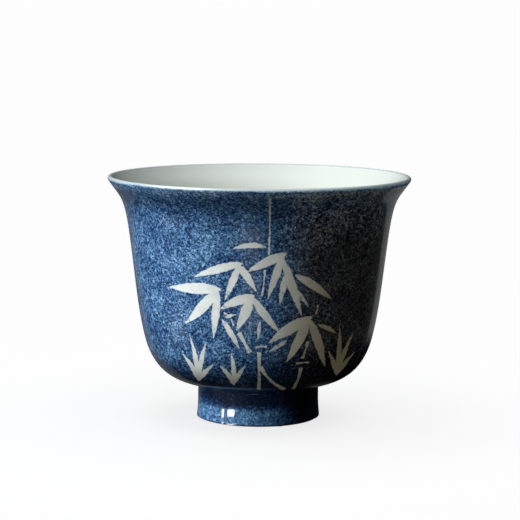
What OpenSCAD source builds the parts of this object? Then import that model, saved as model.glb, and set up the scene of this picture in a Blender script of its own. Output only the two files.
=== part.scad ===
// Flared porcelain teacup on a foot ring. A white clay bowl and ring carry a speckled blue coat
// outside, in which a bamboo spray is left in white, and a clear white glaze inside and underneath.
// Millimetres, +Z up, origin at the centre of the foot on the table, the bamboo facing -Y.

/* [Cup] */
// Diameter over the lip
rim_d = 80; // [76:1:86]
// Height from the table to the top of the lip
cup_h = 64.4; // [62:0.1:69]
// Diameter at the top of the round belly
belly_d = 60.4; // [58:0.2:62]
// Height of the top of the round belly
belly_h = 21.4; // [20:0.1:23]
// Diameter where the wall begins to flare
flare_d = 68.6; // [67:0.2:70]
// Height of the flared zone, down from the lip
flare_h = 15.5; // [14:0.5:17]
// Slope of the wall at the lip, from the horizontal
lip_angle = 56; // [50:1:64]

/* [Walls] */
// Wall thickness at the lip, with both glazes
lip_t = 1.3; // [1.1:0.1:1.8]
// Wall thickness above the foot, with both glazes
base_t = 3.2; // [2.6:0.1:3.6]
// Thickness of each coat of glaze
glaze_t = 0.3; // [0.2:0.05:0.4]
// Height of the white line at the lip, where the blue coat stops
lip_band = 0.4; // [0.3:0.1:1.5]

/* [Foot] */
// Diameter of the foot ring near the table
foot_d = 32.8; // [32.6:0.1:34]
// Diameter of the neck, where the foot meets the bowl
neck_d = 32.1; // [31:0.1:32.6]
// Height up to which the foot flares
foot_flare_h = 5.2; // [3:0.1:7]
// Height of the foot ring
foot_h = 9.6; // [8.8:0.1:10.2]
// Diameter of the recess under the cup, before glazing
recess_d = 26; // [24:0.5:27]
// Height of the bare clay above the table
bare_h = 0.4; // [0.3:0.1:1]
// Radius of the glaze pooled in the corner between foot and bowl
pool_r = 0.9; // [0.4:0.1:1.2]

/* [Bamboo] */
// Points along each edge of a leaf
leaf_steps = 7; // [5:1:12]
// Width of the slim grass blades
blade_w = 1.3; // [0.8:0.1:1.5]

/* [Hidden] */
$fn = 96;

clay_white = [0.93, 0.92, 0.88];
glaze_white = [0.90, 0.93, 0.91];
cobalt = [0.16, 0.27, 0.45];
reserve_white = [0.82, 0.86, 0.84];

// Angles of the outer profile from the horizontal, and the reach of its Bezier handles
joint_angle = 2;
belly_angle = 75.5;
flare_angle = 82.3;
joint_reach = 6;
belly_reach = [9.5, 8];
flare_reach = [11, 10.5];
lip_reach = 5.2;
belly_steps = 9;
wall_steps = 3;
flare_steps = 6;
arc_steps = 6;

toe_r = 0.6;
foot_steps = 8;
foot_bend = 1.6;
recess_fillet = 1.2;
floor_dip = 0.5;
// Height of the line the brush strokes are measured from
stroke_base_h = 0.9;

function polar(angle, length = 1) = length * [cos(angle), sin(angle)];
function bezier(p, t) =
    pow(1 - t, 3) * p[0] + 3 * t * pow(1 - t, 2) * p[1] + 3 * t * t * (1 - t) * p[2] + pow(t, 3) * p[3];
function heading(p, t) =
    let (d = pow(1 - t, 2) * (p[1] - p[0]) + 2 * t * (1 - t) * (p[2] - p[1]) + t * t * (p[3] - p[2]))
    atan2(d[1], d[0]);
function reversed(list) = [for (i = [len(list) - 1 : -1 : 0]) list[i]];
function arc(centre, r, from, to, steps = arc_steps) =
    [for (i = [0 : steps]) centre + polar(from + (to - from) * i / steps, r)];

// The outer profile: three Bezier curves from the foot to the lip
lip_centre = [rim_d - lip_t, 2 * cup_h - lip_t] / 2;
lip_edge = lip_centre + polar(lip_angle - 90, lip_t / 2);
band_edge = lip_edge - polar(lip_angle, lip_band);
joint = [neck_d / 2, foot_h];
belly_top = [belly_d / 2, belly_h];
flare_start = [flare_d / 2, cup_h - flare_h];
belly_curve = [
    joint, joint + polar(joint_angle, joint_reach),
    belly_top - polar(belly_angle, belly_reach[0]), belly_top
];
wall_curve = [
    belly_top, belly_top + polar(belly_angle, belly_reach[1]),
    flare_start - polar(flare_angle, flare_reach[0]), flare_start
];
flare_curve = [
    flare_start, flare_start + polar(flare_angle, flare_reach[1]),
    band_edge - polar(lip_angle, lip_reach), band_edge
];

// Stations along the outside of the bowl, each a point and the heading of the wall there
function stations(curve, steps, first = 0) =
    [for (i = [first : steps]) [bezier(curve, i / steps), heading(curve, i / steps)]];
coat_stations = concat(
    stations(belly_curve, belly_steps),
    stations(wall_curve, wall_steps, 1),
    stations(flare_curve, flare_steps, 1)
);
wall_stations = concat(coat_stations, [[lip_edge, lip_angle]]);

// The wall thins from the foot to the lip
function wall_t(z) = base_t - (base_t - lip_t) * pow(max(0, (z - foot_h) / (lip_edge[1] - foot_h)), 0.7);
function outside(list, depth) = [for (s = list) s[0] + polar(s[1] + 90, depth)];
function inside(list, cover) = [for (s = list) s[0] + polar(s[1] + 90, wall_t(s[0][1]) - cover)];

// The inner floor runs on from the wall to the centre and dips a little
function floor_line(cover) =
    let (start = inside([wall_stations[0]], cover)[0], low = [0, start[1] - floor_dip])
    [for (i = [1 : arc_steps]) bezier([
        start, start - polar(joint_angle, start[0] / 3), low + [start[0] / 2, 0], low
    ], i / arc_steps)];

// The foot ring's outer line, straight below the bowl and wider towards the table
function foot_r(z) = neck_d / 2 + (foot_d - neck_d) / 2 * pow(max(0, 1 - z / foot_flare_h), foot_bend);
function foot_side(from, to, depth) =
    [for (i = [0 : foot_steps]) let (z = from + (to - from) * i / foot_steps) [foot_r(z) - depth, z]];

module turned(points) rotate_extrude() polygon(points);

module clay_bowl() color(clay_white) turned(concat(
    [[0, foot_h], joint],
    outside(wall_stations, glaze_t),
    arc(lip_centre, lip_t / 2 - glaze_t, lip_angle - 90, lip_angle + 90),
    reversed(inside(coat_stations, glaze_t)),
    floor_line(glaze_t)
));

module clay_foot_ring() color(clay_white) turned(concat(
    arc([recess_d / 2 + toe_r, toe_r], toe_r, 180, 270),
    arc([foot_r(bare_h) - glaze_t - toe_r, toe_r], toe_r, 270, 360),
    foot_side(bare_h + 0.01, foot_h, glaze_t),
    [[recess_d / 2, foot_h]]
));

module full_coat() turned(concat(
    outside(coat_stations, 0),
    reversed(outside(coat_stations, glaze_t))
));

module speckled_coat() color(cobalt) difference() {
    full_coat();
    through_front() stalks(main_stalk_strokes);
    through_front() leaves(branch_leaves);
    through_front() stalks(branch_strokes);
    through_front() stalks(ground_strokes);
    through_front() leaves(top_spray);
    through_front() leaves(upper_left_spray);
    through_front() leaves(left_spray);
    through_front() leaves(centre_spray);
    through_front() leaves(right_spray);
    through_front() leaves(single_leaves);
    through_front() leaves(left_blades);
    through_front() leaves(middle_blades);
    through_front() leaves(right_blades);
}

module foot_coat() {
    under = wall_stations[1][0] - joint;
    pool_top = joint + under / norm(under) * pool_r;
    color(cobalt) turned(concat(
        foot_side(bare_h + 0.01, foot_h - pool_r, 0),
        arc(joint + [pool_r, -pool_r], pool_r, 165, 105, 3),
        [pool_top, joint],
        reversed(foot_side(bare_h + 0.01, foot_h, glaze_t))
    ));
}

module lip_glaze() color(glaze_white) turned(concat(
    [band_edge],
    arc(lip_centre, lip_t / 2, lip_angle - 90, lip_angle + 90),
    arc(lip_centre, lip_t / 2 - glaze_t, lip_angle + 90, lip_angle - 90),
    outside([coat_stations[len(coat_stations) - 1]], glaze_t)
));

module inner_glaze() color(glaze_white) turned(concat(
    [lip_centre + polar(lip_angle + 90, lip_t / 2)],
    reversed(inside(coat_stations, 0)),
    floor_line(0),
    reversed(floor_line(glaze_t)),
    inside(coat_stations, glaze_t),
    [lip_centre + polar(lip_angle + 90, lip_t / 2 - glaze_t)]
));

module base_glaze() {
    wall = recess_d / 2;
    clear = wall - glaze_t;
    ceiling = foot_h - glaze_t;
    color(glaze_white) turned(concat(
        [[0, foot_h], [wall, foot_h], [wall, toe_r + bare_h], [clear, toe_r + bare_h]],
        arc([clear - recess_fillet, ceiling - recess_fillet], recess_fillet, 0, 90),
        [[0, ceiling]]
    ));
}

// Brush strokes are drawn flat, as seen from the front: x to the right, y up from stroke_base_h.
// A leaf is [base, tip, width, bow], a stalk is [start, end, width, bow], and a bow is sideways.
function stroke_point(from, to, bow, t) =
    let (along = to - from, side = [-along[1], along[0]] / norm(along))
    from + along * t + side * bow * 4 * t * (1 - t);
function stroke_side(from, to, bow, t) =
    let (a = stroke_point(from, to, bow, t - 0.01), b = stroke_point(from, to, bow, t + 0.01))
    [a[1] - b[1], b[0] - a[0]] / norm(b - a);
function leaf_half(width, t) = width / 2 * pow(sin(180 * pow(t, 0.8)), 0.85);

module leaf(s) polygon([
    s[0],
    for (i = [1 : leaf_steps]) let (t = i / (leaf_steps + 1))
        stroke_point(s[0], s[1], s[3], t) - stroke_side(s[0], s[1], s[3], t) * leaf_half(s[2], t),
    s[1],
    for (i = [leaf_steps : -1 : 1]) let (t = i / (leaf_steps + 1))
        stroke_point(s[0], s[1], s[3], t) + stroke_side(s[0], s[1], s[3], t) * leaf_half(s[2], t)
]);

module stalk(s, steps = 4) polygon([
    for (i = [0 : steps]) stroke_point(s[0], s[1], s[3], i / steps)
        - stroke_side(s[0], s[1], s[3], i / steps) * s[2] / 2,
    for (i = [steps : -1 : 0]) stroke_point(s[0], s[1], s[3], i / steps)
        + stroke_side(s[0], s[1], s[3], i / steps) * s[2] / 2
]);

top_spray = [
    [[7.1, 47.0], [-3.1, 42.1], 2.4, -0.2],
    [[6.3, 46.6], [2.3, 35.3], 2.0, -0.2],
    [[6.0, 45.6], [11.0, 30.3], 2.2, 0.0],
    [[6.9, 42.2], [5.2, 33.7], 1.6, 0.0],
    [[8.8, 37.9], [12.5, 32.9], 1.1, 0.2]
];
upper_left_spray = [
    [[-4.0, 44.4], [-16.4, 40.3], 2.2, -0.3],
    [[-4.9, 44.1], [-8.6, 34.7], 1.9, 0.1],
    [[-5.4, 44.2], [-0.6, 37.2], 1.9, 0.2]
];
left_spray = [
    [[-9.4, 37.4], [-22.9, 36.9], 2.9, -0.2],
    [[-10.4, 37.3], [-18.5, 27.9], 2.7, 0.2],
    [[-10.2, 37.3], [-11.3, 24.6], 2.1, -0.1]
];
centre_spray = [
    [[-0.9, 36.2], [-9.9, 32.3], 2.3, -0.4],
    [[-1.7, 35.9], [-5.6, 27.1], 2.6, 0.2],
    [[-1.8, 36.0], [5.5, 26.3], 2.1, -0.2]
];
right_spray = [
    [[13.6, 30.3], [2.4, 23.7], 2.9, -0.5],
    [[12.7, 29.9], [7.0, 18.6], 2.6, 0.3],
    [[12.8, 29.9], [17.0, 16.5], 2.3, 0.3]
];
single_leaves = [
    [[1.9, 48.4], [-6.6, 47.9], 1.4, -0.8],
    [[9.0, 41.4], [18.5, 34.4], 2.1, 0.4],
    [[7.2, 24.6], [2.7, 21.5], 1.1, 0.1],
    [[15.1, 28.1], [19.9, 25.3], 1.2, 0.2],
    [[0.3, 29.4], [-0.2, 24.5], 0.9, 0.0]
];
main_stalk_strokes = [
    [[2.72, 61.2], [2.5, 46.6], 0.55, 0.0],
    [[1.5, 42.7], [0.8, 36.0], 0.5, 0.1],
    [[-0.7, 22.7], [2.1, 22.9], 0.65, 0.1]
];
branch_leaves = [
    [[-9.2, 29.9], [-4.8, 22.3], 1.5, 0.1],
    [[-8.5, 30.2], [-5.6, 31.15], 1.0, 0.15]
];
branch_strokes = [
    [[-8.7, 31.5], [-7.3, 30.5], 0.6, 0.1],
    [[-6.85, 30.0], [-6.25, 28.2], 0.5, 0.0],
    [[-4.95, 26.5], [-2.15, 21.3], 1.15, 0.0],
    [[14.9, 33.3], [14.4, 31.0], 0.5, 0.1],
    [[12.5, 24.0], [11.1, 19.4], 0.8, 0.1]
];
ground_strokes = [
    [[0.2, 21.4], [0.2, 10.3], 1.0, 0.0],
    [[0.5, 17.6], [6.9, 10.3], 1.15, -0.7],
    [[9.5, 18.1], [12.9, 18.2], 0.6, 0.1],
    [[10.8, 16.9], [8.9, 10.3], 1.0, 0.3]
];
left_blades = [
    [[-15.3, 12.0], [-19.6, 19.8], blade_w, -0.6],
    [[-15.3, 12.0], [-17.4, 24.8], blade_w, -0.4],
    [[-15.3, 12.0], [-13.2, 23.6], blade_w, 0.4],
    [[-15.3, 12.0], [-11.2, 17.6], blade_w, 0.5]
];
middle_blades = [
    [[-6.2, 11.8], [-9.8, 17.4], blade_w, -0.5],
    [[-6.2, 11.8], [-6.9, 21.2], blade_w, -0.3],
    [[-6.2, 11.8], [-3.2, 17.8], blade_w, 0.4]
];
right_blades = [
    [[20.1, 13.2], [17.8, 20.8], blade_w, -0.4],
    [[20.1, 13.2], [20.6, 27.2], blade_w, -0.3],
    [[20.1, 13.2], [24.4, 24.9], blade_w, 0.4],
    [[20.1, 13.2], [25.0, 19.2], blade_w, 0.4]
];

// Strokes that meet are joined without slivers
module joined() offset(delta = -0.08) offset(delta = 0.16) offset(delta = -0.08) children();
module leaves(list) joined() for (s = list) leaf(s);
module stalks(list) joined() for (s = list) stalk(s);

// Strokes are carried straight through the front of the cup
module through_front()
    translate([0, 0, stroke_base_h]) rotate([90, 0, 0]) linear_extrude(height = rim_d / 2 + 1) children();

// White left in the blue coat, as thick as the coat
module reserve() color(reserve_white) intersection() {
    full_coat();
    through_front() children();
}

clay_bowl();
clay_foot_ring();
speckled_coat();
foot_coat();
lip_glaze();
inner_glaze();
base_glaze();
reserve() stalks(main_stalk_strokes);  // main_stalk
reserve() {  // branches
    leaves(branch_leaves);
    stalks(branch_strokes);
}
reserve() stalks(ground_strokes);  // ground_stalks
reserve() leaves(top_spray);  // top_leaves
reserve() leaves(upper_left_spray);  // upper_left_leaves
reserve() leaves(left_spray);  // left_leaves
reserve() leaves(centre_spray);  // centre_leaves
reserve() leaves(right_spray);  // right_leaves
reserve() leaves(single_leaves);  // loose_leaves
reserve() leaves(left_blades);  // left_grass
reserve() leaves(middle_blades);  // middle_grass
reserve() leaves(right_blades);  // right_grass
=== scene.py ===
"""Flared porcelain teacup: speckled blue coat outside, white bamboo spray, white glaze inside.

Lengths are in mm and angles in degrees, until a mesh, a lamp or the camera is placed in metres.
"""

import math

import bpy
import numpy as np
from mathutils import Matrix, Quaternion, Vector
from mathutils.geometry import delaunay_2d_cdt
from mathutils.kdtree import KDTree


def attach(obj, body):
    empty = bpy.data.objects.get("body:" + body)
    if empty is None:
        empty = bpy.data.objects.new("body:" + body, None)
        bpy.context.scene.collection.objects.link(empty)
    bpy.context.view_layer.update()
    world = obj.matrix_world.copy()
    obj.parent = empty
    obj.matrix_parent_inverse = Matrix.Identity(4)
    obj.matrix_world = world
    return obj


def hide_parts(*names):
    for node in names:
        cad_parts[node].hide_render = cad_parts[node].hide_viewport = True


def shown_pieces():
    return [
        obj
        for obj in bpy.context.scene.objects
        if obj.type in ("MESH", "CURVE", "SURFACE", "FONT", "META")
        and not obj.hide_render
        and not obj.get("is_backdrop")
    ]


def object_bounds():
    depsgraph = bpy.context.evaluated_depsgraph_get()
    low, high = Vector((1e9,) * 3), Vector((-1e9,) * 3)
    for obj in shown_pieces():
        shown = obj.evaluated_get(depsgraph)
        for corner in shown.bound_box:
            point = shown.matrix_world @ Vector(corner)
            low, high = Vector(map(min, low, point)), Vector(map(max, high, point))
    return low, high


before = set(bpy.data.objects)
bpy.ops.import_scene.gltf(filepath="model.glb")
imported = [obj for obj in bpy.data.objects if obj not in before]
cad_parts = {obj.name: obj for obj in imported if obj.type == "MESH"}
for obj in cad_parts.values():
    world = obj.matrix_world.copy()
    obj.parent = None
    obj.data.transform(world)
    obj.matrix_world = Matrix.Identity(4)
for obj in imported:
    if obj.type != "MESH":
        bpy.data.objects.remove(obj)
cad_low, cad_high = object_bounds()
MM = 0.001

# ---------------------------------------------------------------- sizes, as in the CAD
RIM_D = round((cad_high.x - cad_low.x) / MM, 1)
CUP_H = round((cad_high.z - cad_low.z) / MM, 1)
BELLY_D, BELLY_H = 60.4, 21.4
FLARE_D, FLARE_H = 68.6, 15.5
LIP_ANGLE = 56.0
LIP_T, BASE_T, GLAZE_T, LIP_BAND = 1.3, 3.2, 0.3, 0.4
FOOT_D, NECK_D, FOOT_FLARE_H, FOOT_H = 32.8, 32.1, 5.2, 9.6
RECESS_D, BARE_H, POOL_R = 26.0, 0.4, 0.9
# Angles of the outer profile from the horizontal, and the reach of its Bezier handles
JOINT_ANGLE, BELLY_ANGLE, FLARE_ANGLE = 2.0, 75.5, 82.3
JOINT_REACH, BELLY_REACH, FLARE_REACH, LIP_REACH = 6.0, (9.5, 8.0), (11.0, 10.5), 5.2
WALL_BEND, FOOT_BEND = 0.7, 1.6
TOE_R, RECESS_FILLET, FLOOR_DIP = 0.6, 1.2, 0.5
# Points along each of the profile's curves, and up to the lip
CURVE_POINTS, BAND_POINTS = 400, 20


def polar(angle, length=1.0):
    a = math.radians(angle)
    return length * np.array([math.cos(a), math.sin(a)])


def bezier(p, n):
    t = np.linspace(0, 1, n)[:, None]
    u = 1 - t
    p = [np.asarray(q, float) for q in p]
    return u**3 * p[0] + 3 * t * u**2 * p[1] + 3 * t * t * u * p[2] + t**3 * p[3]


def arc(centre, r, start, end, n):
    a = np.radians(np.linspace(start, end, n))
    return np.asarray(centre) + r * np.stack([np.cos(a), np.sin(a)], 1)


def curve(start, start_angle, start_reach, end, end_angle, end_reach):
    """A smooth stretch of the profile that leaves start and reaches end at the given angles."""
    leaving, arriving = polar(start_angle, start_reach), polar(end_angle, end_reach)
    return bezier([start, start + leaving, end - arriving, end], CURVE_POINTS)


# ---------------------------------------------------------------- outer profile, as (r, z)
LIP_CENTRE = np.array([RIM_D - LIP_T, 2 * CUP_H - LIP_T]) / 2
LIP_EDGE = LIP_CENTRE + polar(LIP_ANGLE - 90, LIP_T / 2)
BAND_EDGE = LIP_EDGE - polar(LIP_ANGLE, LIP_BAND)
JOINT = np.array([NECK_D / 2, FOOT_H])
BELLY = np.array([BELLY_D / 2, BELLY_H])
FLARE = np.array([FLARE_D / 2, CUP_H - FLARE_H])
PROFILE = np.concatenate(
    [
        curve(JOINT, JOINT_ANGLE, JOINT_REACH, BELLY, BELLY_ANGLE, BELLY_REACH[0]),
        curve(BELLY, BELLY_ANGLE, BELLY_REACH[1], FLARE, FLARE_ANGLE, FLARE_REACH[0])[1:],
        curve(FLARE, FLARE_ANGLE, FLARE_REACH[1], BAND_EDGE, LIP_ANGLE, LIP_REACH)[1:],
        np.linspace(BAND_EDGE, LIP_EDGE, BAND_POINTS)[1:],
    ]
)
# Length along the profile, its direction, and the length covered by the blue coat
ALONG = np.concatenate([[0], np.cumsum(np.linalg.norm(np.diff(PROFILE, axis=0), axis=1))])
TANGENT = np.gradient(PROFILE, ALONG, axis=0)
TANGENT /= np.linalg.norm(TANGENT, axis=1)[:, None]
COAT_S = ALONG[-1] - LIP_BAND


def on_wall(s, depth=0.0):
    """Point and outward normal of the outer wall at length s along it, moved in by depth."""
    s = np.asarray(s, float)
    p = np.stack([np.interp(s, ALONG, PROFILE[:, k]) for k in (0, 1)], -1)
    t = np.stack([np.interp(s, ALONG, TANGENT[:, k]) for k in (0, 1)], -1)
    t /= np.linalg.norm(t, axis=-1)[..., None]
    n = np.stack([t[..., 1], -t[..., 0]], -1)
    return p - n * np.asarray(depth)[..., None], n


def wall_t(z):
    """Thickness of the bowl's wall with its glazes, which thins from the foot to the lip."""
    up = np.clip((z - FOOT_H) / (LIP_EDGE[1] - FOOT_H), 0, 1)
    return BASE_T - (BASE_T - LIP_T) * up**WALL_BEND


def ripple(theta, size, seed, low, high):
    """Smooth closed unevenness round the cup, made of low to high waves a turn."""
    rng = np.random.RandomState(seed)
    theta = np.asarray(theta, float)
    out = np.zeros_like(theta)
    total = 0.0
    for k in range(low, high):
        out += np.sin(k * theta + rng.uniform(0, 2 * math.pi)) / math.sqrt(k)
        total += 0.5 / k
    return size * out / math.sqrt(total)


def band_line(theta):
    """How far the lower edge of the lip line wanders, along the wall."""
    return ripple(theta, size=0.04, seed=5, low=5, high=90)


# ---------------------------------------------------------------- meshes
class Solid:
    """A mesh from patches, each with its own normals, so that corners between patches stay crisp."""

    def __init__(self):
        self.points, self.normals, self.faces, self.values = [], [], [], {}
        self.count = 0

    def add(self, points, normals, faces, **values):
        self.points.append(np.asarray(points, float).reshape(-1, 3))
        self.normals.append(np.asarray(normals, float).reshape(-1, 3))
        self.faces += [tuple(int(i) + self.count for i in f) for f in faces]
        for key, value in values.items():
            self.values.setdefault(key, []).append((self.count, np.asarray(value, float).ravel()))
        self.count += len(self.points[-1])

    def build(self, name, material, slot, nodes):
        mesh = bpy.data.meshes.new(name)
        points = np.concatenate(self.points) * MM
        mesh.from_pydata(points.tolist(), [], self.faces)
        mesh.polygons.foreach_set("use_smooth", [True] * len(mesh.polygons))
        mesh.update()
        mesh.normals_split_custom_set_from_vertices(np.concatenate(self.normals).tolist())
        for key, parts in self.values.items():
            data = np.zeros(self.count, np.float32)
            for start, value in parts:
                data[start : start + len(value)] = value
            attribute = mesh.attributes.new(key, "FLOAT", "POINT")
            attribute.data.foreach_set("value", data)
        mesh.materials.append(material)
        obj = bpy.data.objects.new(name, mesh)
        bpy.context.scene.collection.objects.link(obj)
        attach(obj, "root")
        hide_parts(*nodes)
        return obj


def turn(rz, theta):
    """(r, z) points at angles theta from the front, to xyz."""
    rz = np.asarray(rz, float)
    return np.stack([rz[..., 0] * np.sin(theta), -rz[..., 0] * np.cos(theta), rz[..., 1]], -1)


# Less than this radius counts as on the axis, and less than this length as none
ON_AXIS, SHORTEST = 1e-6, 1e-9


def lathe_faces(grid):
    """Quads between neighbouring columns of (r, z) points, and triangles where they reach the axis."""
    seg, m = grid.shape[:2]
    faces = []
    for i in range(seg):
        a, b = i * m, ((i + 1) % seg) * m
        for j in range(m - 1):
            if grid[i, j, 0] < ON_AXIS:
                faces.append((a + j, b + j + 1, a + j + 1))
            elif grid[i, j + 1, 0] < ON_AXIS:
                faces.append((a + j, b + j, a + j + 1))
            else:
                faces.append((a + j, b + j, b + j + 1, a + j + 1))
    return faces


def lathe(runs, seg, **values):
    """Turn an outline. runs(theta) gives its smooth stretches, anticlockwise in (r, z)."""
    solid = Solid()
    thetas = np.arange(seg) * 2 * math.pi / seg
    columns = [runs(theta) for theta in thetas]
    for k in range(len(columns[0])):
        grid = np.array([column[k] for column in columns])
        theta = thetas[:, None] * np.ones(grid.shape[1])
        way = np.gradient(grid, axis=1)
        way /= np.maximum(np.linalg.norm(way, axis=2), SHORTEST)[..., None]
        normals = np.stack([way[..., 1], -way[..., 0]], -1)
        extra = {key: value(grid, theta) for key, value in values.items()}
        solid.add(turn(grid, theta), turn(normals, theta), lathe_faces(grid), **extra)
    return solid


# ---------------------------------------------------------------- node helpers
AXES = {"across": 0, "back": 1, "up": 2}


class Nodes:
    """One material's shader and the nodes that feed it, with every pattern laid out in mm."""

    def __init__(self, name):
        self.material = bpy.data.materials.new(name)
        self.material.use_nodes = True
        self.tree = self.material.node_tree
        self.tree.nodes.clear()
        self.out = self.tree.nodes.new("ShaderNodeOutputMaterial")
        self.bsdf = self.tree.nodes.new("ShaderNodeBsdfPrincipled")
        self.tree.links.new(self.bsdf.outputs[0], self.out.inputs["Surface"])
        coords = self.tree.nodes.new("ShaderNodeTexCoord")
        scale = self.tree.nodes.new("ShaderNodeVectorMath")
        scale.operation = "SCALE"
        self.put(scale.inputs[0], coords.outputs["Object"])
        self.put(scale.inputs["Scale"], 1 / MM)
        self.mm = scale.outputs[0]

    def put(self, socket, value):
        """Link or set a node's input."""
        if hasattr(value, "is_output"):
            self.tree.links.new(value, socket)
        elif value is not None:
            if isinstance(value, (tuple, list)) and len(value) == 3 and socket.type == "RGBA":
                value = (*value, 1.0)
            socket.default_value = value

    def math(self, kind, a, b=None, c=None):
        n = self.tree.nodes.new("ShaderNodeMath")
        n.operation = kind
        for i, value in enumerate((a, b, c)):
            self.put(n.inputs[i], value)
        return n.outputs[0]

    def times(self, a, b):
        return self.math("MULTIPLY", a, b)

    def plus(self, value, mask, amount):
        """value, raised by amount where mask is 1."""
        return self.math("MULTIPLY_ADD", mask, amount, value)

    def place(self, shift):
        n = self.tree.nodes.new("ShaderNodeVectorMath")
        n.operation = "ADD"
        self.put(n.inputs[0], self.mm)
        self.put(n.inputs[1], shift)
        return n.outputs[0]

    def noise(self, scale, detail, rough=0.5, shift=(0, 0, 0)):
        """Smooth noise with scale waves a mm."""
        n = self.tree.nodes.new("ShaderNodeTexNoise")
        self.put(n.inputs["Vector"], self.place(shift))
        for key, value in (("Scale", scale), ("Detail", detail), ("Roughness", rough)):
            self.put(n.inputs[key], value)
        return n.outputs["Fac"]

    def cells(self, scale, shift=(0, 0, 0)):
        """Flat grains, scale of them a mm, each with its own value."""
        n = self.tree.nodes.new("ShaderNodeTexVoronoi")
        self.put(n.inputs["Vector"], self.place(shift))
        self.put(n.inputs["Scale"], scale)
        split = self.tree.nodes.new("ShaderNodeSeparateColor")
        self.put(split.inputs[0], n.outputs["Color"])
        return split.outputs[0]

    def ramp(self, value, stops):
        n = self.tree.nodes.new("ShaderNodeValToRGB")
        while len(n.color_ramp.elements) < len(stops):
            n.color_ramp.elements.new(0.5)
        for element, (at, colour) in zip(n.color_ramp.elements, stops):
            element.position = at
            element.color = (*colour, 1.0)
        self.put(n.inputs[0], value)
        return n.outputs[0]

    def between(self, value, low, high, to_low=0.0, to_high=1.0):
        """A smooth step from to_low at low to to_high at high."""
        n = self.tree.nodes.new("ShaderNodeMapRange")
        n.interpolation_type = "SMOOTHSTEP"
        for i, number in enumerate((value, low, high, to_low, to_high)):
            self.put(n.inputs[i], number)
        return n.outputs[0]

    def fade(self, value, at_zero, at_one):
        """A smooth step from 0 to 1, whichever of the two limits is the larger."""
        if at_zero < at_one:
            return self.between(value, at_zero, at_one)
        return self.between(value, at_one, at_zero, 1.0, 0.0)

    def zone(self, limits):
        """A mask in space, from where it is 0 and where it is 1 along each axis."""
        mask = None
        for name, (at_zero, at_one) in limits.items():
            step = self.fade(self.axis(name), at_zero, at_one)
            mask = step if mask is None else self.times(mask, step)
        return mask

    def mix(self, factor, a, b):
        n = self.tree.nodes.new("ShaderNodeMix")
        n.data_type = "RGBA"
        self.put(n.inputs[0], factor)
        self.put(n.inputs[6], a)
        self.put(n.inputs[7], b)
        return n.outputs[2]

    def attribute(self, name):
        n = self.tree.nodes.new("ShaderNodeAttribute")
        n.attribute_name = name
        return n.outputs["Fac"]

    def axis(self, name):
        n = self.tree.nodes.new("ShaderNodeSeparateXYZ")
        self.put(n.inputs[0], self.mm)
        return n.outputs[AXES[name]]

    def bump(self, height, depth, strength):
        n = self.tree.nodes.new("ShaderNodeBump")
        n.inputs["Distance"].default_value = depth * MM
        n.inputs["Strength"].default_value = strength
        self.put(n.inputs["Height"], height)
        return n.outputs[0]

    def finish(self, colour, rough, normal=None, coat=None, specular=0.5):
        """Fill in the shader. coat is the clear layer's weight and roughness."""
        self.put(self.bsdf.inputs["Base Color"], colour)
        self.put(self.bsdf.inputs["Roughness"], rough)
        self.put(self.bsdf.inputs["Specular IOR Level"], specular)
        if normal is not None:
            self.put(self.bsdf.inputs["Normal"], normal)
            self.put(self.bsdf.inputs["Coat Normal"], normal)
        if coat is not None:
            self.put(self.bsdf.inputs["Coat Weight"], coat[0])
            self.put(self.bsdf.inputs["Coat Roughness"], coat[1])
        return self.material


# ---------------------------------------------------------------- colours, from dense to bare glaze
TONE_STOPS = (0.26, 0.38, 0.50, 0.64, 0.80, 1.0)
BLUES = (
    (0.004, 0.009, 0.028),
    (0.010, 0.029, 0.080),
    (0.028, 0.083, 0.205),
    (0.095, 0.215, 0.395),
    (0.290, 0.470, 0.630),
    (0.740, 0.800, 0.780),
)
# Painted shade: the coat's grains darkened to brown-black, mixed in where the coat lies in shade
SHADE_BROWNS = (
    (0.008, 0.007, 0.006),
    (0.019, 0.017, 0.016),
    (0.052, 0.050, 0.047),
    (0.145, 0.145, 0.140),
    (0.330, 0.350, 0.340),
    (0.700, 0.720, 0.700),
)
# A dark line at the foot's glaze edge: partly the glaze's dark edge, partly painted contact shadow
SEAM_AND_CONTACT_SHADOW = (0.012, 0.012, 0.014)
LIP_WHITE = (0.33, 0.38, 0.385)
STROKE_DEEP, STROKE_LIGHT, STROKE_EDGE = (0.62, 0.665, 0.65), (0.745, 0.785, 0.76), (0.36, 0.46, 0.56)
# Deeper in the bowl the inside is darker and olive: an olive tint, and painted shade
INSIDE_LIGHT, INSIDE_DEEP_AND_SHADED = (0.82, 0.86, 0.82), (0.74, 0.78, 0.68)
UNDER_LIGHT, UNDER_DEEP = (0.68, 0.73, 0.68), (0.72, 0.77, 0.73)
CLAY_DEEP, CLAY_LIGHT = (0.55, 0.49, 0.41), (0.74, 0.70, 0.62)
# The darkest clay tone, towards the glaze edge near the floor, is partly scorched clay and partly painted
# contact shadow
CLAY_GRIT, CLAY_BURNT_AND_SHADOW = (0.30, 0.24, 0.18), (0.08, 0.05, 0.035)

# ---------------------------------------------------------------- where the glaze differs, and where light and shade are painted on it
# The speckle's layers: grains or waves a mm, and each one's share
FINE, COARSE, CLOUD, DRIFT = (3.3, 0.30), (1.95, 0.24), (1.1, 0.46), (0.16, 0.25)
# Masks, in mm: where each is 0 and where it is 1, along each axis
CRISP_ZONE = {"across": (2.0, 14.0), "up": (46.0, 56.0)}
RING_ZONE = {"up": (18.0, 12.0)}
MATT_ZONE = {"across": (4.0, 20.0), "up": (25.5, 20.5)}
# Painted shade: on the right of the front, and next to the foot, where it is also a painted dark reflection
PAINTED_SHADE_SIDE = {"across": (3.5, 15.0), "back": (20.0, -8.0)}
PAINTED_SHADE_BY_FOOT = {"up": (15.0, FOOT_H + 1.0)}
FRONT = {"back": (5.0, -5.0)}
# The same for the distance below the lip
NEAR_LIP, THIN_AND_LIT_BELOW_LIP = (2.2, 0.0), (7.0, 1.0)
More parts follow.
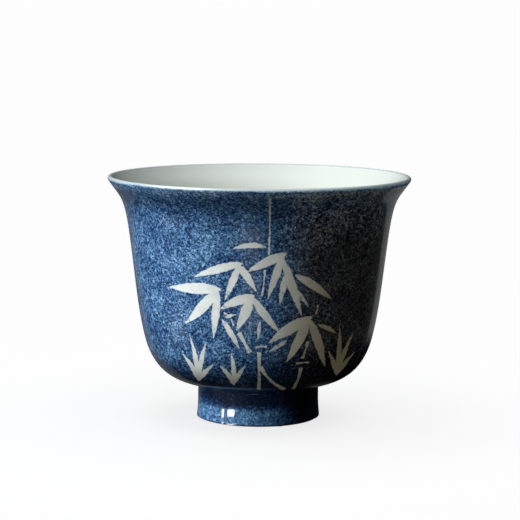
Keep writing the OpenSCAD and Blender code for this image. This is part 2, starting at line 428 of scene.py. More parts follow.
# Zones that darken the grain, and how much they take off: towards the foot, where the blue lies denser and
# painted shade falls under the belly, a little at the upper left, and at the lower right, as painted shade
DENSE_AND_SHADED_ZONES = (
    ({"up": (21.0, FOOT_H)}, -0.17),
    ({"across": (0.0, -14.0), "up": (53.0, 58.5)}, -0.035),
    ({"across": (0.0, 10.0), "up": (26.0, 18.0)}, -0.14),
)
# Painted shade on the foot: its upper part, under the belly, and its right side
FOOT_UPPER_SHADE = {"up": (3.6, 6.4)}
FOOT_RIGHT_SHADE = {"across": (4.0, 12.0)}
# The dark line at the foot's lower edge, partly painted contact shadow
FOOT_SEAM_AND_SHADOW = {"up": (BARE_H + 0.35, BARE_H)}
# A painted sheen on the front, as paler grain: its place across and up, its half width and half height, and
# its strength
PAINTED_SHEEN, PAINTED_SHEEN_LIFT = (-15.5, 47.5, 6.0, 9.0), 0.055
# Throwing rings above the foot: radians a mm, and strength
RING_PITCH, RING_GRAIN = 4.6, 0.035
MIDDLE_GRAIN, CRISPER = 0.45, 0.8


def speckle(m, size=1.0):
    """0 to 1: grains of blue sprinkled on white, from dark grains to bare pale ground."""
    fine = m.cells(FINE[0] / size, (3.1, 1.7, 0.4))
    coarse = m.cells(COARSE[0] / size, (0.2, 5.3, 2.2))
    cloud = m.noise(CLOUD[0] / size, 3.0, 0.6)
    drift = m.math("SUBTRACT", m.noise(DRIFT[0] / size, 2.0, shift=(7, 3, 1)), 0.5)
    grain = m.plus(m.times(coarse, COARSE[1]), fine, FINE[1])
    return m.plus(m.plus(grain, cloud, CLOUD[1]), drift, DRIFT[1])


def tones(m, grain, colours):
    return m.ramp(grain, list(zip(TONE_STOPS, colours)))


def lip_thinning_and_light(m):
    """How much the glaze thins at the lip, and paler still towards the right, which is partly thinner glaze
    and partly painted light.
    """
    return m.between(m.axis("across"), -36.0, 24.0, 0.12, 0.19)


def patch(m, x, z, wide, tall):
    """1 at a point on the front of the cup, fading to 0 around it."""
    sideways = m.math("ABSOLUTE", m.math("SUBTRACT", m.axis("across"), x))
    upwards = m.math("ABSOLUTE", m.math("SUBTRACT", m.axis("up"), z))
    spot = m.times(m.fade(sideways, wide, 0.0), m.fade(upwards, tall, 0.0))
    return m.times(spot, m.zone(FRONT))


def coat_grain(m):
    """The coat's speckle: crisper at the upper right, bare at the lip, paler with painted light under the
    lip at the right and in a painted sheen on the front, darker with denser glaze and painted shade towards
    the foot and with painted shade at the lower right.
    """
    grain = speckle(m)
    crisp = m.times(m.zone(CRISP_ZONE), CRISPER)
    grain = m.plus(grain, crisp, m.math("SUBTRACT", grain, MIDDLE_GRAIN))
    below_lip = m.attribute("below_lip")
    grain = m.plus(grain, m.fade(below_lip, *NEAR_LIP), lip_thinning_and_light(m))
    # Paler over a wider band below the lip, most at the right: partly thinner glaze, partly painted light
    # from below
    right = m.between(m.axis("across"), 2.0, 30.0, 0.05, 0.09)
    grain = m.plus(grain, m.fade(below_lip, *THIN_AND_LIT_BELOW_LIP), right)
    rings = m.math("SINE", m.times(m.axis("up"), RING_PITCH))
    grain = m.plus(grain, m.times(rings, m.zone(RING_ZONE)), RING_GRAIN)
    # Painted sheen: paler grain in a patch on the front left
    grain = m.plus(grain, patch(m, *PAINTED_SHEEN), PAINTED_SHEEN_LIFT)
    # Denser glaze and painted shade darken the grain here
    for limits, amount in DENSE_AND_SHADED_ZONES:
        grain = m.plus(grain, m.zone(limits), amount)
    return grain


def painted_shade_brown(m):
    """How much painted shade, in brown-black, lies on the coat: at the right of the front under the lip,
    and next to the foot, where it is also a painted dark reflection.
    """
    fading_up = m.between(m.axis("up"), 49.0, 62.0, 0.85, 0.1)
    shaded_right_front = m.times(m.zone(PAINTED_SHADE_SIDE), fading_up)
    return m.math("MAXIMUM", shaded_right_front, m.times(m.zone(PAINTED_SHADE_BY_FOOT), 0.75))


def coat_material():
    """The bowl's blue coat, glossy except at its lower right."""
    m = Nodes("speckled_blue")
    grain = coat_grain(m)
    # Brown-black painted shade is mixed into the blue
    colour = m.mix(painted_shade_brown(m), tones(m, grain, BLUES), tones(m, grain, SHADE_BROWNS))
    gloss = m.math("SUBTRACT", 1.0, m.zone(MATT_ZONE))
    peel = m.plus(m.times(m.noise(3.2, 1.0), 0.3), m.noise(0.9, 2.0), 0.7)
    rough = m.between(grain, 0.3, 0.8, 0.34, 0.46)
    relief = m.bump(peel, depth=0.05, strength=0.35)
    return m.finish(colour, rough, relief, coat=(gloss, 0.09), specular=m.times(gloss, 0.15))


def foot_material():
    """The foot's coat, with painted shade in its upper part, less on the left, and on its right side, and a
    dark seam above the bare clay that is partly painted contact shadow.
    """
    m = Nodes("foot_blue")
    grain = m.plus(0.19, speckle(m, size=1.15), 0.75)
    # Painted shade under the belly, less of it on the left
    upper = m.between(m.axis("across"), -16.0, -7.0, -0.20, -0.33)
    grain = m.plus(grain, m.zone(FOOT_UPPER_SHADE), upper)
    grain = m.plus(grain, m.zone(FOOT_RIGHT_SHADE), -0.24)
    colour = m.mix(m.times(m.zone(FOOT_SEAM_AND_SHADOW), 0.85), tones(m, grain, BLUES), SEAM_AND_CONTACT_SHADOW)
    relief = m.bump(m.noise(0.8, 2.0), depth=0.012, strength=0.25)
    return m.finish(colour, 0.5, relief, coat=(1.0, 0.05), specular=0.1)


def reserve_material():
    """Off-white strokes, with blue grains strayed in from their edges."""
    m = Nodes("reserve_white")
    edge = m.attribute("edge")
    strayed = m.times(m.fade(speckle(m), 0.46, 0.36), m.between(edge, 0.02, 0.20, 0.5, 0.0))
    tone = m.ramp(m.noise(0.35, 3.0), [(0.3, STROKE_DEEP), (0.7, STROKE_LIGHT)])
    tone = m.mix(m.between(edge, 0.0, 0.25, 0.20, 0.0), tone, STROKE_EDGE)
    colour = m.mix(strayed, tone, BLUES[2])
    return m.finish(colour, 0.35, m.bump(m.noise(0.8, 2.0), depth=0.04, strength=0.3), coat=(0.6, 0.12))


def white_material(name, light, deep, low, high):
    """Clear glaze over white clay, from deep at the height low to light at high."""
    m = Nodes(name)
    cloud = m.times(m.noise(0.12, 4.0, 0.55), 8.0)
    tone = m.mix(m.between(m.math("ADD", m.axis("up"), cloud), low, high), deep, light)
    return m.finish(tone, 0.3, m.bump(m.noise(0.5, 2.0), depth=0.04, strength=0.2), coat=(0.5, 0.08))


def lip_material():
    """Thinned blue at the band's edge, then the pale line over the lip."""
    m = Nodes("lip_white")
    thinned = tones(m, m.math("ADD", speckle(m), lip_thinning_and_light(m)), BLUES)
    colour = m.mix(m.between(m.attribute("above_band"), 0.62, 1.05), thinned, LIP_WHITE)
    return m.finish(colour, 0.3, m.bump(m.noise(0.8, 2.0), depth=0.03, strength=0.2), coat=(0.4, 0.12))


def clay_material():
    """Bare clay with dark grit, darker towards the glaze: partly kiln-scorched clay, partly painted contact
    shadow.
    """
    m = Nodes("bare_clay")
    tone = m.ramp(m.noise(1.6, 5.0, 0.65), [(0.3, CLAY_DEEP), (0.7, CLAY_LIGHT)])
    grit = m.times(m.fade(m.cells(2.4), 0.05, 0.0), 0.35)
    scorch_and_shadow = m.between(m.axis("up"), 0.05, BARE_H, 0.0, 0.8)
    colour = m.mix(scorch_and_shadow, m.mix(grit, tone, CLAY_GRIT), CLAY_BURNT_AND_SHADOW)
    return m.finish(colour, 0.75, m.bump(m.noise(4.0, 3.0), depth=0.05, strength=0.6))


COAT, FOOT, RESERVE = coat_material(), foot_material(), reserve_material()
LIP, CLAY = lip_material(), clay_material()
# Darker and olive deeper inside, partly painted shade
INSIDE_WHITE = white_material("inside_white", INSIDE_LIGHT, INSIDE_DEEP_AND_SHADED, 36.0, 66.0)
UNDER_WHITE = white_material("underside_white", UNDER_LIGHT, UNDER_DEEP, 4.0, 14.0)


# ---------------------------------------------------------------- bamboo strokes, as seen from the front
# A leaf is [base, tip, width, bow] and a stalk is [start, end, width, bow], as in the CAD, in mm: x to
# the right and y up from STROKE_BASE_H.
STROKE_BASE_H = 0.9
BLADE_W = 1.3
LEAVES = {
    "top_leaves": [
        [(7.1, 47.0), (-3.1, 42.1), 2.4, -0.2],
        [(6.3, 46.6), (2.3, 35.3), 2.0, -0.2],
        [(6.0, 45.6), (11.0, 30.3), 2.2, 0.0],
        [(6.9, 42.2), (5.2, 33.7), 1.6, 0.0],
        [(8.8, 37.9), (12.5, 32.9), 1.1, 0.2],
    ],
    "upper_left_leaves": [
        [(-4.0, 44.4), (-16.4, 40.3), 2.2, -0.3],
        [(-4.9, 44.1), (-8.6, 34.7), 1.9, 0.1],
        [(-5.4, 44.2), (-0.6, 37.2), 1.9, 0.2],
    ],
    "left_leaves": [
        [(-9.4, 37.4), (-22.9, 36.9), 2.9, -0.2],
        [(-10.4, 37.3), (-18.5, 27.9), 2.7, 0.2],
        [(-10.2, 37.3), (-11.3, 24.6), 2.1, -0.1],
    ],
    "centre_leaves": [
        [(-0.9, 36.2), (-9.9, 32.3), 2.3, -0.4],
        [(-1.7, 35.9), (-5.6, 27.1), 2.6, 0.2],
        [(-1.8, 36.0), (5.5, 26.3), 2.1, -0.2],
    ],
    "right_leaves": [
        [(13.6, 30.3), (2.4, 23.7), 2.9, -0.5],
        [(12.7, 29.9), (7.0, 18.6), 2.6, 0.3],
        [(12.8, 29.9), (17.0, 16.5), 2.3, 0.3],
    ],
    "loose_leaves": [
        [(1.9, 48.4), (-6.6, 47.9), 1.4, -0.8],
        [(9.0, 41.4), (18.5, 34.4), 2.1, 0.4],
        [(7.2, 24.6), (2.7, 21.5), 1.1, 0.1],
        [(15.1, 28.1), (19.9, 25.3), 1.2, 0.2],
        [(0.3, 29.4), (-0.2, 24.5), 0.9, 0.0],
    ],
    "branches": [
        [(-9.2, 29.9), (-4.8, 22.3), 1.5, 0.1],
        [(-8.5, 30.2), (-5.6, 31.15), 1.0, 0.15],
    ],
    "left_grass": [
        [(-15.3, 12.0), (-19.6, 19.8), BLADE_W, -0.6],
        [(-15.3, 12.0), (-17.4, 24.8), BLADE_W, -0.4],
        [(-15.3, 12.0), (-13.2, 23.6), BLADE_W, 0.4],
        [(-15.3, 12.0), (-11.2, 17.6), BLADE_W, 0.5],
    ],
    "middle_grass": [
        [(-6.2, 11.8), (-9.8, 17.4), BLADE_W, -0.5],
        [(-6.2, 11.8), (-6.9, 21.2), BLADE_W, -0.3],
        [(-6.2, 11.8), (-3.2, 17.8), BLADE_W, 0.4],
    ],
    "right_grass": [
        [(20.1, 13.2), (17.8, 20.8), BLADE_W, -0.4],
        [(20.1, 13.2), (20.6, 27.2), BLADE_W, -0.3],
        [(20.1, 13.2), (24.4, 24.9), BLADE_W, 0.4],
        [(20.1, 13.2), (25.0, 19.2), BLADE_W, 0.4],
    ],
}
STALKS = {
    "main_stalk": [
        [(2.72, 61.2), (2.5, 46.6), 0.55, 0.0],
        [(1.5, 42.7), (0.8, 36.0), 0.5, 0.1],
        [(-0.7, 22.7), (2.1, 22.9), 0.65, 0.1],
    ],
    "branches": [
        [(-8.7, 31.5), (-7.3, 30.5), 0.6, 0.1],
        [(-6.85, 30.0), (-6.25, 28.2), 0.5, 0.0],
        [(-4.95, 26.5), (-2.15, 21.3), 1.15, 0.0],
        [(14.9, 33.3), (14.4, 31.0), 0.5, 0.1],
        [(12.5, 24.0), (11.1, 19.4), 0.8, 0.1],
    ],
    "ground_stalks": [
        [(0.2, 21.4), (0.2, 10.3), 1.0, 0.0],
        [(0.5, 17.6), (6.9, 10.3), 1.15, -0.7],
        [(9.5, 18.1), (12.9, 18.2), 0.6, 0.1],
        [(10.8, 16.9), (8.9, 10.3), 1.0, 0.3],
    ],
}
# Spacing of the points along a stroke's edge, and how far its fine and its slow roughness move them
STROKE_STEP = 0.16
FINE_ROUGH, SLOW_ROUGH = 0.022, 0.05
LEAF_LIMIT, STALK_LIMIT = 0.10, 0.06


def left_of(steps):
    """Unit vectors to the left of each step of a line."""
    left = np.stack([-steps[:, 1], steps[:, 0]], 1)
    return left / np.maximum(np.linalg.norm(steps, axis=1), SHORTEST)[:, None]


def stroke_outline(stroke, is_leaf, rng):
    """The closed, slightly ragged edge of one brush stroke, as (x, z) points."""
    start, end = np.array(stroke[0], float), np.array(stroke[1], float)
    width, bow = stroke[2:]
    along = end - start
    length = np.linalg.norm(along)
    side = np.array([-along[1], along[0]]) / length
    t = np.linspace(0, 1, max(6, int(length / STROKE_STEP)) + 1)[:, None]
    middle = start + along * t + side * bow * 4 * t * (1 - t)
    across = left_of(np.gradient(middle, axis=0))
    if is_leaf:
        half = width / 2 * np.sin(math.pi * t**0.8) ** 0.85
        edge = np.concatenate([middle - across * half, (middle + across * half)[::-1][1:-1]])
    else:
        half = width / 2 * (0.80 + 0.20 * np.cos(2 * math.pi * t))
        cap = np.linspace(-1, 1, max(1, int(width / STROKE_STEP) - 1) + 2)[1:-1, None]
        far_end = middle[-1] + across[-1] * half[-1] * cap
        near_end = middle[0] - across[0] * half[0] * cap
        edge = np.concatenate([middle - across * half, far_end, (middle + across * half)[::-1], near_end])
    fine = rng.normal(size=len(edge)) * FINE_ROUGH
    slow = rng.normal(size=len(edge))
    slow = sum(np.roll(slow, k) for k in range(-2, 3)) / math.sqrt(5) * SLOW_ROUGH
    limit = LEAF_LIMIT if is_leaf else STALK_LIMIT
    inwards = left_of(np.roll(edge, -1, 0) - np.roll(edge, 1, 0))
    return edge - inwards * np.clip(fine + slow, -limit, limit)[:, None]


# ---------------------------------------------------------------- the flattened coat, cut along the strokes
# The flattened wall is (angle times FLAT_R, length along the wall), with SEG by RINGS cells
FLAT_R = 33.0
SEG, RINGS = 200, 66
CLEAR_OF_STROKES = 0.22
FAR_FROM_EDGE, BELOW_LIP_MAX = 2.0, 5.0
BEVEL_W, STROKE_DEPTH = 0.35, 0.02


def to_flat(xz):
    """Front view (x, z) to the flattened wall."""
    s = np.interp(xz[:, 1] + STROKE_BASE_H, PROFILE[:, 1], ALONG)
    r = on_wall(s)[0][:, 0]
    return np.stack([np.arcsin(np.clip(xz[:, 0] / r, -1, 1)) * FLAT_R, s], 1)


def motif_outlines():
    """The node and the closed outline of every brush stroke, on the flattened wall."""
    rng = np.random.RandomState(11)
    outlines = []
    for table, is_leaf in ((LEAVES, True), (STALKS, False)):
        for node, strokes in table.items():
            for stroke in strokes:
                outlines.append((node, to_flat(stroke_outline(stroke, is_leaf, rng))))
    return outlines


def kd_tree(points):
    tree = KDTree(len(points))
    for i, p in enumerate(points):
        tree.insert((p[0], p[1], 0), i)
    tree.balance()
    return tree


def distance(tree, p):
    return tree.find((p[0], p[1], 0))[2]


def within(points, polygon):
    """Even-odd test of many points against one closed outline."""
    hit = np.zeros(len(points), bool)
    near = np.where(((points >= polygon.min(0)) & (points <= polygon.max(0))).all(1))[0]
    x, y = points[near].T
    odd = np.zeros(len(near), bool)
    for (x0, y0), (x1, y1) in zip(polygon, np.roll(polygon, -1, 0)):
        if y0 != y1:
            odd ^= ((y0 > y) != (y1 > y)) & (x < (x1 - x0) * (y - y0) / (y1 - y0) + x0)
    hit[near] = odd
    return hit


def cut_coat(outlines):
    """The flattened coat's points and triangles, with an edge along every outline."""
    points, edges = [], []
    for _, line in outlines:
        k, n = len(points), len(line)
        points += line.tolist()
        edges += [(k + i, k + (i + 1) % n) for i in range(n)]
    tree = kd_tree(points)
    for i in range(SEG + 1):
        for j in range(RINGS + 1):
            p = ((2 * i / SEG - 1) * math.pi * FLAT_R, j / RINGS * COAT_S)
            border = j in (0, RINGS) or i in (0, SEG)
            if border or distance(tree, p) > CLEAR_OF_STROKES:
                points.append(p)
    flat, _, triangles, *_ = delaunay_2d_cdt([Vector(p) for p in points], edges, [], 0, 1e-5)
    flat = np.array([tuple(p) for p in flat])
    return flat, np.array([tuple(t) for t in triangles if len(t) == 3])


def owners(flat, triangles, outlines):
    """The node that each triangle belongs to."""
    owner = np.full(len(triangles), "speckled_coat", dtype=object)
    centres = flat[triangles].mean(1)
    for node, line in outlines:
        owner[within(centres, line)] = node
    return owner


def edge_distances(flat, triangles, owner):
    """How far each point is from the nearest edge between two nodes."""
    sides = {}
    for k, t in enumerate(triangles):
        for i in range(3):
            a, b = int(t[i]), int(t[(i + 1) % 3])
            sides.setdefault((min(a, b), max(a, b)), []).append(k)
    border = set()
    for edge, ks in sides.items():
        if len(ks) == 2 and owner[ks[0]] != owner[ks[1]]:
            border.update(edge)
    tree = kd_tree(flat[sorted(border)])
    return np.array([min(distance(tree, p), FAR_FROM_EDGE) for p in flat])


OUTLINES = motif_outlines()
FLAT, TRIANGLES = cut_coat(OUTLINES)
OWNER = owners(FLAT, TRIANGLES, OUTLINES)
EDGE = edge_distances(FLAT, TRIANGLES, OWNER)


def coat_point(uv, depth):
    """3-D place and normal of points of the flattened coat, moved in by depth."""
    theta = uv[:, 0] / FLAT_R
    s = uv[:, 1] + band_line(theta) * np.clip(uv[:, 1] / COAT_S, 0, 1) ** 40
    rz, n = on_wall(s, depth)
    return turn(rz, theta), turn(n, theta)


def open_edges(faces):
    """Directed edges that only one face has, as arrays of their first and second points."""
    edges = {(int(t[i]), int(t[(i + 1) % 3])): None for t in faces for i in range(3)}
    rim = np.array([(a, b) for a, b in edges if (b, a) not in edges])
    return rim[:, 0], rim[:, 1]


def coat_piece(name, node, material, slot, dish):
    """One node's region of the coat as a closed shell, as thick as the glaze and sunk by dish."""
    used, faces = np.unique(TRIANGLES[OWNER == node], return_inverse=True)
    faces = faces.reshape(-1, 3)
    uv, edge = FLAT[used], EDGE[used]
    w = np.clip(edge / BEVEL_W, 0, 1)
    top, up = coat_point(uv, dish * w * w * (3 - 2 * w))
    low, _ = coat_point(uv, np.full(len(uv), GLAZE_T))
    below = np.clip(COAT_S - uv[:, 1], 0, BELOW_LIP_MAX)
    solid = Solid()
    solid.add(top, up, faces, edge=edge, below_lip=below)
    solid.add(low, -up, faces[:, ::-1], edge=edge, below_lip=below)
    a, b = open_edges(faces)
    side = np.cross(top[b] - top[a], up[a])
    side /= np.maximum(np.linalg.norm(side, axis=1), SHORTEST)[:, None]
    quads = np.arange(4 * len(a)).reshape(-1, 4)
    corners = (a, a, b, b)
    solid.add(
        np.stack([top[a], low[a], low[b], top[b]], 1),
        np.repeat(side[:, None], 4, 1),
        quads,
        edge=np.stack([edge[k] for k in corners], 1),
        below_lip=np.stack([below[k] for k in corners], 1),
    )
    return solid.build(name, material, slot, [node])


coat = coat_piece("blue_coat", "speckled_coat", COAT, "blue_glaze", 0.0)
reserves = [
    coat_piece("white_" + node, node, RESERVE, "reserve_white", STROKE_DEPTH)
    for node in sorted({node for node, _ in OUTLINES})
]

# ---------------------------------------------------------------- turned parts
WALL_POINTS, FLOOR_POINTS, FOOT_POINTS, LIP_POINTS, BAND_LINE_POINTS = 90, 24, 24, 16, 8
# Height of the wandering lower edge of the underside's glaze
BASE_EDGE_H = 1.2
# Width of the zone at the lip in which the height above the band is measured, and its value elsewhere
LIP_ZONE_W, FAR_ABOVE_BAND = 2.5, 3.0


def coat_back():
    """Where the coat meets the clay, from the foot to the lip band."""
    s = np.linspace(0, COAT_S, WALL_POINTS)
    return on_wall(s, np.full(WALL_POINTS, GLAZE_T))[0]


def inner_line(cover):
    """The inside of the wall from the lip down, cover outside of the glazed surface."""
    s = np.linspace(COAT_S, 0, WALL_POINTS)
    z = on_wall(s)[0][:, 1]
    return on_wall(s, wall_t(z) - cover)[0]


def floor_line(cover):
    """The inner floor from the wall to the centre, where it dips a little."""
    start = inner_line(cover)[-1]
    low = np.array([0.0, start[1] - FLOOR_DIP])
    leaving = polar(JOINT_ANGLE, start[0] / 3)
    return bezier([start, start - leaving, low + [start[0] / 2, 0], low], FLOOR_POINTS)


def lip_arc(r, start, end):
    return arc(LIP_CENTRE, r, LIP_ANGLE + start, LIP_ANGLE + end, LIP_POINTS)


def bowl_runs(_theta):
    lip = lip_arc(LIP_T / 2 - GLAZE_T, -90, 90)
    wall = np.concatenate([coat_back(), lip, inner_line(GLAZE_T)])
    return [np.array([[0.0, FOOT_H], JOINT]), np.array([JOINT, wall[0]]), wall, floor_line(GLAZE_T)]


def lip_runs(theta):
    s = np.linspace(COAT_S + float(band_line(theta)), ALONG[-1], BAND_LINE_POINTS)
    top, under = on_wall(s)[0], on_wall(s, np.full(len(s), GLAZE_T))[0]
    front = np.concatenate([top[:-1], lip_arc(LIP_T / 2, -90, 90)])
    back = np.concatenate([lip_arc(LIP_T / 2 - GLAZE_T, 90, -90)[:-1], under[::-1]])
    return [front, np.array([front[-1], back[0]]), back, np.array([under[0], top[0]])]


def inside_runs(_theta):
    start = LIP_CENTRE + polar(LIP_ANGLE + 90, LIP_T / 2)
    under = LIP_CENTRE + polar(LIP_ANGLE + 90, LIP_T / 2 - GLAZE_T)
    face = np.concatenate([[start], inner_line(0.0), floor_line(0.0)[1:]])
    back = np.concatenate([floor_line(GLAZE_T)[::-1], inner_line(GLAZE_T)[::-1][1:], [under]])
    return [face, back, np.array([under, start])]


def foot_r(z):
    return NECK_D / 2 + (FOOT_D - NECK_D) / 2 * np.maximum(0, 1 - z / FOOT_FLARE_H) ** FOOT_BEND


def foot_line(low, high, depth):
    z = np.linspace(low, high, FOOT_POINTS)
    return np.stack([foot_r(z) - depth, z], 1)


def foot_edge(theta):
    """Height at which the foot's glaze stops, a little uneven round the foot."""
    return BARE_H + 0.02 + float(ripple(theta, size=0.06, seed=9, low=2, high=30))


def ring_runs(theta):
    inner = RECESS_D / 2
    heel = foot_r(BARE_H) - GLAZE_T - TOE_R
    bottom = np.concatenate(
        [
            arc([inner + TOE_R, TOE_R], TOE_R, 180, 270, 8),
            arc([heel, TOE_R], TOE_R, 270, 360, 8),
            foot_line(max(foot_edge(theta), TOE_R + 0.01), FOOT_H, GLAZE_T),
        ]
    )
    corner = [inner, FOOT_H]
    return [bottom, np.array([bottom[-1], corner]), np.array([corner, [inner, TOE_R]])]


def foot_coat_runs(theta):
    low = foot_edge(theta)
    belly = on_wall(np.array([POOL_R]))[0][0]
    tip = arc([foot_r(low) - GLAZE_T / 2, low], GLAZE_T / 2, 180, 360, 8)
    neck = foot_line(low, FOOT_H - POOL_R, 0.0)
    pool = arc(JOINT + [POOL_R, -POOL_R], POOL_R, 170, 105, 7)
    front = np.concatenate([tip, neck[1:], pool[1:], [belly]])
    return [front, np.array([belly, JOINT]), foot_line(low, FOOT_H, GLAZE_T)[::-1]]


def base_runs(theta):
    wall, clear, ceiling = RECESS_D / 2, RECESS_D / 2 - GLAZE_T, FOOT_H - GLAZE_T
    low = BASE_EDGE_H + float(ripple(theta, size=0.05, seed=13, low=2, high=20))
    tip = arc([clear + GLAZE_T / 2, low], GLAZE_T / 2, 360, 180, 8)
    fillet = arc([clear - RECESS_FILLET, ceiling - RECESS_FILLET], RECESS_FILLET, 0, 90, 10)
    face = np.concatenate([tip, fillet, [[0.0, ceiling]]])
    return [face, np.array([[0.0, FOOT_H], [wall, FOOT_H]]), np.array([[wall, FOOT_H], [wall, low]])]


def above_band(grid, theta):
    """How far each point of the lip's glaze is from the line where the blue stops."""
    lift = np.linalg.norm(grid - BAND_EDGE, axis=2) - band_line(theta)
    return np.where(grid[..., 0] > RIM_D / 2 - LIP_ZONE_W, lift, FAR_ABOVE_BAND)


lathe(bowl_runs, 96).build("clay_body", CLAY, "clay", ["clay_bowl"])
lathe(ring_runs, 192).build("clay_ring", CLAY, "clay", ["clay_foot_ring"])
foot = lathe(foot_coat_runs, 240).build("foot_glaze", FOOT, "blue_glaze", ["foot_coat"])
lip = lathe(lip_runs, 360, above_band=above_band).build("lip_line", LIP, "lip_glaze", ["lip_glaze"])
inside = lathe(inside_runs, 240).build("inside_glaze", INSIDE_WHITE, "white_glaze", ["inner_glaze"])
lathe(base_runs, 160).build("underside_glaze", UNDER_WHITE, "white_glaze", ["base_glaze"])

# ---------------------------------------------------------------- floor and background
scene = bpy.context.scene
FLOOR_HALF_M = 60.0
FLOOR_GREY, FLOOR_GLOW, PAPER, ROOM_GREY, ROOM_GLOW = 0.60, 0.80, 0.985, 0.9, 0.006


def pale_floor():
    """A wide even floor that glows a little, and sends no light and no reflection to the cup."""
    corners = [(x * FLOOR_HALF_M, y * FLOOR_HALF_M, 0) for x, y in ((-1, -1), (1, -1), (1, 1), (-1, 1))]
    mesh = bpy.data.meshes.new("floor")
    mesh.from_pydata(corners, [], [(0, 1, 2, 3)])
    floor = bpy.data.objects.new("floor", mesh)
    scene.collection.objects.link(floor)
    floor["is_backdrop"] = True
    m = Nodes("pale_floor")
    m.put(m.bsdf.inputs["Emission Color"], (1.0, 1.0, 1.0))
    m.put(m.bsdf.inputs["Emission Strength"], FLOOR_GLOW)
    mesh.materials.append(m.finish((FLOOR_GREY, FLOOR_GREY, FLOOR_GREY), 0.9, specular=0.0))
    floor.visible_diffuse = False
    floor.visible_glossy = False
    floor.visible_shadow = False
    return floor


def studio_world():
    """Paper white behind the cup, and almost no light from it."""
    world = bpy.data.worlds.new("studio")
    world.use_nodes = True
    nodes, links = world.node_tree.nodes, world.node_tree.links
    room = nodes["Background"]
    room.inputs["Color"].default_value = (ROOM_GREY, ROOM_GREY, ROOM_GREY, 1.0)
    room.inputs["Strength"].default_value = ROOM_GLOW
    paper = nodes.new("ShaderNodeBackground")
    paper.inputs["Color"].default_value = (PAPER, PAPER, PAPER, 1.0)
    seen = nodes.new("ShaderNodeLightPath")
    choice = nodes.new("ShaderNodeMixShader")
    links.new(seen.outputs["Is Camera Ray"], choice.inputs[0])
    links.new(room.outputs[0], choice.inputs[1])
    links.new(paper.outputs[0], choice.inputs[2])
    links.new(choice.outputs[0], nodes["World Output"].inputs["Surface"])
    return world


floor = pale_floor()
scene.world = studio_world()
scene.view_settings.view_transform = "Standard"


# ---------------------------------------------------------------- lamps
def lit(name, objects):
    """A collection that a lamp can be limited to."""
    group = bpy.data.collections.new(name)
    for obj in objects:
        group.objects.link(obj)
    return group


floor_only, inside_only = lit("floor_lit", [floor]), lit("inside_lit", [inside])
foot_only, lip_only = lit("foot_lit", [foot]), lit("lip_lit", [lip])
outside_only = lit("outside_lit", [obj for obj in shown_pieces() if obj != inside])
coat_only, motif_only = lit("coat_lit", [coat, lip]), lit("motif_lit", reserves)
body_only = lit("body_lit", [coat, *reserves])
body_and_foot = lit("body_and_foot_lit", [coat, *reserves, foot])


def area(name, azimuth, elevation, size, power, colour, receivers):
    """A soft rectangle of light a metre from the cup. Azimuth 0 is in front, and 90 on the right."""
    a, e = math.radians(azimuth), math.radians(elevation)
    way = Vector((math.sin(a) * math.cos(e), -math.cos(a) * math.cos(e), math.sin(e)))
    data = bpy.data.lights.new(name, "AREA")
    data.shape, data.size, data.size_y = "RECTANGLE", size[0], size[1]
    data.energy, data.color = power, colour
    lamp = bpy.data.objects.new(name, data)
    lamp.location = Vector((0, 0, CUP_H / 2 * MM)) + way
    lamp.rotation_mode = "QUATERNION"
    lamp.rotation_quaternion = way.to_track_quat("Z", "Y")
    scene.collection.objects.link(lamp)
    lamp.light_linking.receiver_collection = receivers
    return lamp


def floor_sun():
    sun = bpy.data.lights.new("floor_light", "SUN")
    sun.energy, sun.angle = 0.95, math.radians(80)
    lamp = bpy.data.objects.new("floor_light", sun)
    lamp.location = (0, 0, 1)
    scene.collection.objects.link(lamp)
    lamp.light_linking.receiver_collection = floor_only


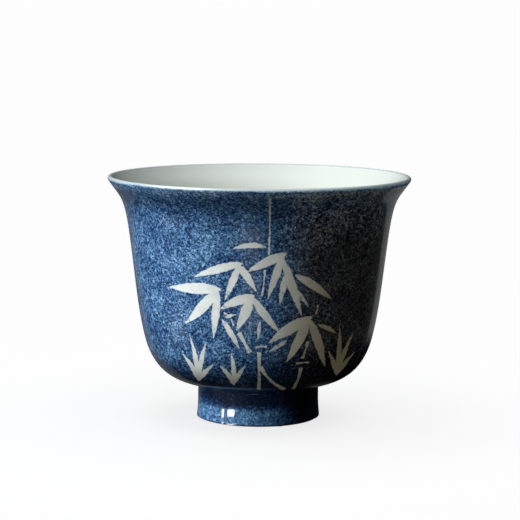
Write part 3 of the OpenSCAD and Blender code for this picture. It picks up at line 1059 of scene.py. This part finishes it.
# Name, azimuth, elevation, size in metres, power in watts, colour and the group that is lit
WHITE, COOL, PALE = (1.0, 1.0, 1.0), (0.95, 0.98, 1.0), (0.96, 0.98, 0.98)
WARM, BROWN = (1.0, 0.79, 0.44), (1.0, 0.90, 0.80)
MAIN_LAMPS = (
    ("key", -72, 43, (0.6, 0.6), 24.0, COOL, outside_only),
    ("low_key", -56, 4, (0.4, 0.25), 2.1, COOL, outside_only),
)
LAMPS_WITHOUT_REFLECTION = (
    ("inside_key", -66, 48, (0.6, 0.6), 12.3, PALE, inside_only),
    ("inside_top", 0, 86, (0.8, 0.8), 1.6, COOL, inside_only),
    ("front_top", -40, 55, (0.5, 0.5), 2.4, COOL, body_only),
    ("rear", 155, 25, (0.8, 0.8), 5.0, WHITE, body_and_foot),
    ("from_below", 25, -30, (1.2, 0.8), 1.25, WARM, motif_only),
    ("coat_from_below", 50, -30, (1.2, 0.8), 0.9, BROWN, coat_only),
    ("foot_front", -45, 10, (0.5, 0.3), 2.5, COOL, foot_only),
    ("lip_fill", 60, 50, (0.6, 0.6), 5.0, COOL, lip_only),
)
WINDOWS = (
    ("window_left", -69.5, -7.6, (0.09, 0.06), 0.36, COOL, foot_only),
    ("window_right", -52.2, -7.6, (0.26, 0.06), 1.2, COOL, foot_only),
)
REFLECTIONS_ONLY = (
    ("backdrop", 161, -8, (0.69, 1.2), 0.42, WHITE, body_only),
    ("backdrop_left", -160, -8, (0.75, 1.2), 0.3, WHITE, body_and_foot),
    ("sheen_left", -86, -24, (0.4, 0.14), 0.10, WHITE, body_and_foot),
    ("sheen_middle", -8, -24, (0.3, 0.14), 0.10, WHITE, body_and_foot),
)
for row in MAIN_LAMPS:
    area(*row)
for row in LAMPS_WITHOUT_REFLECTION:
    area(*row).visible_glossy = False
for row in WINDOWS:
    area(*row)
for row in REFLECTIONS_ONLY:
    area(*row).visible_diffuse = False
floor_sun()

# ---------------------------------------------------------------- camera
# It looks from the front and a little down, at a point just above and right of the middle of the cup
DISTANCE, ELEVATION, AIM_H = 540.0, 8.25, 32.65
AIM_UP, AIM_RIGHT, ROLL = 0.968, 0.0296, 0.35
LENS, SENSOR = 140.54, 36.0


def add_camera():
    data = bpy.data.cameras.new("camera")
    data.lens, data.sensor_width = LENS, SENSOR
    data.clip_start, data.clip_end = 0.01, 200.0
    camera = bpy.data.objects.new("camera", data)
    e = math.radians(ELEVATION)
    camera.location = Vector((0, -math.cos(e), math.sin(e))) * DISTANCE * MM + Vector((0, 0, AIM_H * MM))
    pitch, yaw = math.radians(ELEVATION - AIM_UP), math.radians(-AIM_RIGHT)
    back = Vector((math.sin(yaw) * math.cos(pitch), -math.cos(yaw) * math.cos(pitch), math.sin(pitch)))
    camera.rotation_mode = "QUATERNION"
    camera.rotation_quaternion = back.to_track_quat("Z", "Y") @ Quaternion((0, 0, 1), math.radians(ROLL))
    scene.collection.objects.link(camera)
    return camera


scene.camera = add_camera()
